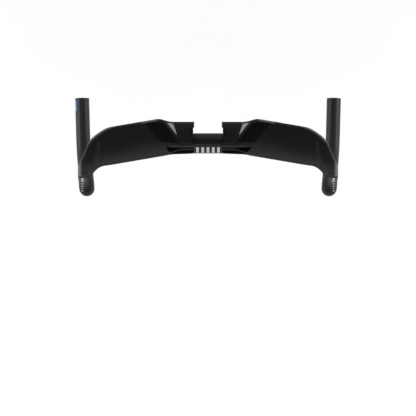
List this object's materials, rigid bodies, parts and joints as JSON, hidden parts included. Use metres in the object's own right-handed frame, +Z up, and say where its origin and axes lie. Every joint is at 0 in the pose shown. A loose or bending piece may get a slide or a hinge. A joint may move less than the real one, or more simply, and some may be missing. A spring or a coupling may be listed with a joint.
{
  "type": "aero road handlebar",
  "caption": "Drop handlebar for a road bike: a hollow moulded bar with a round clamp barrel, flat swept wing tops, round hooks and drops, and snap-in covers beside the stem.",
  "frame": {"origin": "centre of the stem clamp barrel", "axes": "+X along the clamp barrel towards the rider's left, -Y forward, +Z up with the wing tops level as ridden"},
  "size_m": [0.4474, 0.166, 0.1529],
  "materials": {
    "moulded_shell": "satin black lacquer over carbon fibre moulding",
    "clamp_cover": "matt black moulded nylon"
  },
  "bodies": {
    "root": {"bar_shell": "moulded_shell", "left_clamp_cover": "clamp_cover", "right_clamp_cover": "clamp_cover"}
  },
  "joints": []
}
